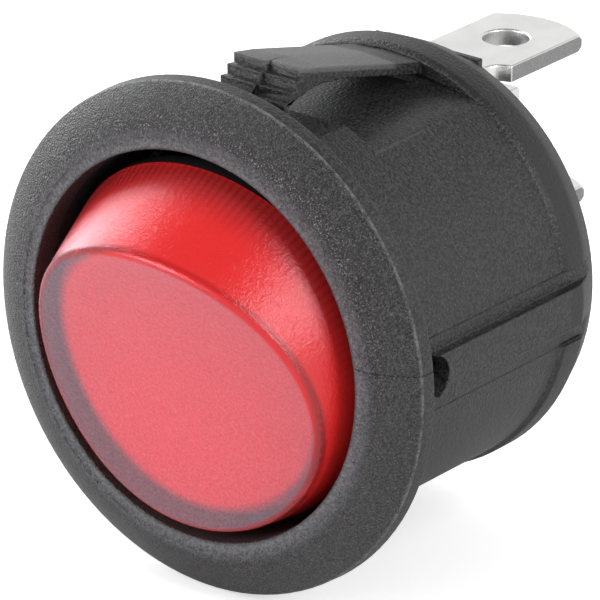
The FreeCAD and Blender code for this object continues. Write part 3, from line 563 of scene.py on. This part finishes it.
def red_polycarbonate():
    """A red skin, clearest at the face, over a matt lining on the inside of roof and wall."""
    material, tree, shader = new_material("red polycarbonate")
    place = place_in_mm(tree, PIVOT, ROCKER_TURN)
    x, v, n = add(tree, "SeparateXYZ", {0: place}).outputs
    wall_x = maths(tree, "SUBTRACT", WALL_X, times(tree, n, WALL_X_LEAN))
    wall_v = maths(tree, "SUBTRACT", WALL_V, times(tree, n, WALL_V_LEAN))
    share_x, share_v = maths(tree, "DIVIDE", x, wall_x), maths(tree, "DIVIDE", v, wall_v)
    reach = across(tree, share_x, share_v)
    face_n = maths(tree, "ADD", times(tree, times(tree, v, v), FACE_CURVE), FACE_N)
    depth = maths(tree, "SUBTRACT", face_n, n)
    off_rim = ramp(tree, reach, 0.955, 0.985, 1, 0)
    on_face = times(tree, ramp(tree, depth, 0.12, 0.25, 1, 0), off_rim)
    inside = times(tree, ramp(tree, reach, 0.94, 0.96, 1, 0), ramp(tree, depth, 0.4, 0.6))
    outside = maths(tree, "SUBTRACT", 1.0, inside)

    clear_top = mix_value(tree, on_face, 0.70, 0.96)
    clear_wall = ramp(tree, n, 1.6, 3.6, 0.55, 0.20)
    window = mix_value(tree, ramp(tree, depth, 0.3, 0.6, 1, 0), clear_wall, clear_top)
    # Painted shade: dark stripes at the flutes' pitch, strongest near the base, stand in for the
    # flutes seen through the wall.
    turn = maths(tree, "ARCTAN2", v, x)
    flute_shade = ramp(tree, maths(tree, "COSINE", times(tree, turn, FLUTES)), -0.6, 0.9)
    flute_shade = times(tree, flute_shade, ramp(tree, n, 1.4, 3.8, 0.60, 0.0))

    grain = noise(tree, place, 9.0, 3.0, 0.6)
    waves = noise(tree, place, 4.0, 2.0)
    cloud = noise(tree, place, 0.7, 2.0)
    red = mix_colour(tree, flute_shade, mix_colour(tree, cloud, RED, RED_DEEP), RED_FLUTE_SHADE)
    texture = maths(tree, "ADD", grain, times(tree, waves, 0.7))
    surface = bump(tree, times(tree, texture, outside), 0.026)
    tree.links.new(red, shader.inputs["Base Color"])
    tree.links.new(surface, shader.inputs["Normal"])
    shader.inputs["Roughness"].default_value = 0.5
    shader.inputs["Specular IOR Level"].default_value = 0.0
    clear = add(tree, "BsdfTransparent", {"Color": RED_TINT})
    body = add(tree, "MixShader", {0: window, 1: shader.outputs[0], 2: clear.outputs[0]})
    haze = add(tree, "BsdfDiffuse", {"Color": GRAIN_HAZE, "Normal": surface})
    share = mix_value(tree, on_face, 0.01, mix_value(tree, grain, 0.0, 0.20))
    matt = add(tree, "MixShader", {0: share, 1: body.outputs[0], 2: haze.outputs[0]})
    satin = mix_value(tree, on_face, ramp(tree, depth, 0.3, 0.6, 0.10, 0.20), 0.36)
    gloss = add(tree, "BsdfGlossy", {"Roughness": satin, "Normal": surface})
    gloss.inputs["Color"].default_value = SKIN_GLOSS
    fresnel = add(tree, "Fresnel", {"IOR": 1.55, "Normal": surface})
    skin_links = {0: fresnel.outputs[0], 1: matt.outputs[0], 2: gloss.outputs[0]}
    skin = add(tree, "MixShader", skin_links)

    rough = add(tree, "BsdfDiffuse", {"Color": RED_GLOW})
    bare = add(tree, "BsdfTransparent", {"Color": RED_TINT})
    on_roof = ramp(tree, depth, 1.0, 1.5, 1, 0)
    wall_cover = ramp(tree, n, 1.6, 3.2, 0.1, 0.9)
    cover = mix_value(tree, on_roof, wall_cover, ramp(tree, reach, 0.83, 0.91, 1, 0.15))
    lining = add(tree, "MixShader", {0: cover, 1: bare.outputs[0], 2: rough.outputs[0]})
    both = add(tree, "MixShader", {0: inside, 1: skin.outputs[0], 2: lining.outputs[0]})
    tree.links.new(both.outputs[0], tree.nodes["Material Output"].inputs["Surface"])
    return material


paint(lens, red_polycarbonate())
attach(lens, "rocker")
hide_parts("rocker_lens")

# ---- Springs ----------------------------------------------------------------
# Coiled from hard drawn wire: two that carry the lamp's current from the
# terminals' ears, and the small one behind the plunger.
SPRING_STEPS, WIRE_FACETS = 32, 12
LAMP_SPRING_R, LAMP_SPRING_WIRE, LAMP_SPRING_TURNS = 1.05, 0.16, 7
LAMP_SPRING_X, LAMP_SPRING_Z = 5.002, 4.0
SMALL_SPRING_R, SMALL_SPRING_WIRE, SMALL_SPRING_TURNS = 0.8, 0.12, 4
SMALL_SPRING_FROM, SMALL_SPRING_LONG = -1.375, 2.05
STEEL, STEEL_DULL = (0.62, 0.61, 0.60, 1), (0.45, 0.44, 0.44, 1)


def coiled(node_name, piece_name, body, radius, wire_r, turns, long, turn, place):
    """A spring of round wire, wound about Z and then turned about X to its place."""
    bpy.ops.object.select_all(action="DESELECT")
    bpy.ops.mesh.primitive_circle_add(
        vertices=WIRE_FACETS, radius=wire_r * MM, location=(radius * MM, 0, wire_r * MM),
        rotation=(math.radians(90), 0, 0),
    )
    spring = bpy.context.object
    spring.name = spring.data.name = piece_name
    keep_place(spring)
    wind = spring.modifiers.new("wind", "SCREW")
    wind.angle = math.tau
    wind.iterations = turns
    wind.steps = wind.render_steps = SPRING_STEPS
    wind.screw_offset = (long - 2 * wire_r) * MM / turns
    bpy.ops.object.modifier_apply(modifier="wind")
    bpy.ops.object.mode_set(mode="EDIT")
    bpy.ops.mesh.select_all(action="SELECT")
    bpy.ops.mesh.remove_doubles(threshold=1e-7)
    bpy.ops.mesh.fill_holes(sides=WIRE_FACETS)
    bpy.ops.mesh.normals_make_consistent(inside=False)
    bpy.ops.object.mode_set(mode="OBJECT")
    spring.rotation_euler = (math.radians(turn), 0, 0)
    spring.location = [c * MM for c in place]
    keep_place(spring)
    bpy.ops.object.shade_smooth_by_angle(angle=math.radians(50))
    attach(spring, body)
    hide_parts(node_name)
    return spring


steel = rolled_metal("spring steel", STEEL, STEEL_DULL, 0.28)
ends = {}
for ear in ("load", "neutral"):
    ends[ear] = [corner.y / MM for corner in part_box("lamp_spring_" + ear)]
long = {ear: far - near for ear, (near, far) in ends.items()}
for side, ear in ((-1, "load"), (1, "neutral")):
    seat = (side * LAMP_SPRING_X, ends[ear][1], -side * LAMP_SPRING_Z)
    lamp_spring = coiled(
        "lamp_spring_" + ear, "lamp_spring_wire_" + ear, "body",
        LAMP_SPRING_R, LAMP_SPRING_WIRE, LAMP_SPRING_TURNS, long[ear], 90, seat,
    )
    paint(lamp_spring, steel)
    if long[ear] == max(long.values()):
        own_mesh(lamp_spring)


def on_tube(n):
    """The point on the plunger tube's axis that is n mm in front of the pivot."""
    turned_back = math.radians(ROCKER_TURN)
    return (0, PIVOT[1] - n * math.sin(turned_back), n * math.cos(turned_back))


small_spring = coiled(
    "plunger_spring", "plunger_spring_wire", "rocker", SMALL_SPRING_R, SMALL_SPRING_WIRE,
    SMALL_SPRING_TURNS, SMALL_SPRING_LONG, ROCKER_TURN, on_tube(SMALL_SPRING_FROM),
)
paint(small_spring, steel)
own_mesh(small_spring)

# ---- Floor, light and camera ------------------------------------------------
# A pale table under the bezel's edge and a white surround that darkens
# overhead, with a tall soft lamp on each side and a square one low in front.
PAPER, WHITE = (0.88, 0.88, 0.88, 1), (1, 1, 1, 1)
FLOOR_WIDTH, FLOOR_GLOW = 3.0, 0.50
SURROUND, OVERHEAD, FILL = 1.0, 0.16, 0.50
LAMP_DISTANCE = 0.35
TARGET = (0, 0.005, 0)
bpy.ops.object.select_all(action="DESELECT")
lowest_z = cad_box[0][2]
bpy.ops.mesh.primitive_plane_add(size=FLOOR_WIDTH, location=(0, 0, lowest_z - 0.02 * MM))
floor = bpy.context.object
floor.name = "floor"
paper, tree, shader = new_material("pale floor")
shader.inputs["Roughness"].default_value = 0.9
shader.inputs["Base Color"].default_value = PAPER
rays = add(tree, "LightPath")
shader.inputs["Emission Color"].default_value = WHITE
seen = times(tree, rays.outputs["Is Camera Ray"], FLOOR_GLOW)
tree.links.new(seen, shader.inputs["Emission Strength"])
floor.data.materials.append(paper)

world = bpy.data.worlds.new("studio")
bpy.context.scene.world = world
world.use_nodes = True
tree = world.node_tree
tree.nodes.clear()
rays = add(tree, "LightPath")
shown = maths(tree, "MAXIMUM", rays.outputs["Is Glossy Ray"], rays.outputs["Is Transmission Ray"])
shown = maths(tree, "MAXIMUM", rays.outputs["Is Camera Ray"], shown)
sky = add(tree, "SeparateXYZ", {0: add(tree, "TexCoord").outputs["Generated"]}).outputs
surround = ramp(tree, sky[2], 0.40, 0.88, SURROUND, OVERHEAD)
surround = maths(tree, "MAXIMUM", surround, rays.outputs["Is Camera Ray"])
dim = add(tree, "Background", {"Color": WHITE, "Strength": FILL})
white = add(tree, "Background", {"Color": WHITE, "Strength": surround})
both = add(tree, "MixShader", {0: shown, 1: dim.outputs[0], 2: white.outputs[0]})
add(tree, "OutputWorld", {0: both.outputs[0]})


def softbox(name, azimuth, elevation, size, power):
    """A soft lamp aimed at the switch; azimuth 0 is in front of it and 90 on its +X side."""
    turn, rise = math.radians(azimuth), math.radians(elevation)
    out = math.cos(rise)
    way = Vector((math.sin(turn) * out, -math.cos(turn) * out, math.sin(rise)))
    lamp = bpy.data.lights.new(name, "AREA")
    lamp.shape = "RECTANGLE"
    lamp.size, lamp.size_y = size
    lamp.energy = power
    holder = bpy.data.objects.new(name, lamp)
    bpy.context.scene.collection.objects.link(holder)
    holder.location = way * LAMP_DISTANCE + Vector(TARGET)
    holder.rotation_euler = way.to_track_quat("Z", "Y").to_euler()


softbox("left lamp", -110, 22, (0.15, 0.34), 0.75)
softbox("right lamp", 86, 36, (0.11, 0.24), 0.60)
softbox("front lamp", -25, 20, (0.20, 0.20), 0.72)

AZIMUTH, ELEVATION, ROLL = 38.09, 22.43, 0.35
SHIFT_X, SHIFT_Y, DISTANCE = 3.43, 1.463, 275.65
FOCAL_LENGTH = 389.2
turn = (
    Matrix.Rotation(math.radians(AZIMUTH), 3, "Z")
    @ Matrix.Rotation(math.radians(90 - ELEVATION), 3, "X")
    @ Matrix.Rotation(math.radians(ROLL), 3, "Z")
)
eye = bpy.data.cameras.new("camera")
eye.sensor_width = 36
eye.lens = FOCAL_LENGTH
eye.clip_start = 0.01
camera = bpy.data.objects.new("camera", eye)
bpy.context.scene.collection.objects.link(camera)
camera.location = turn @ (Vector((SHIFT_X, SHIFT_Y, DISTANCE)) * MM)
camera.rotation_euler = turn.to_euler()
bpy.context.scene.camera = camera
bpy.context.scene.view_settings.view_transform = "Standard"
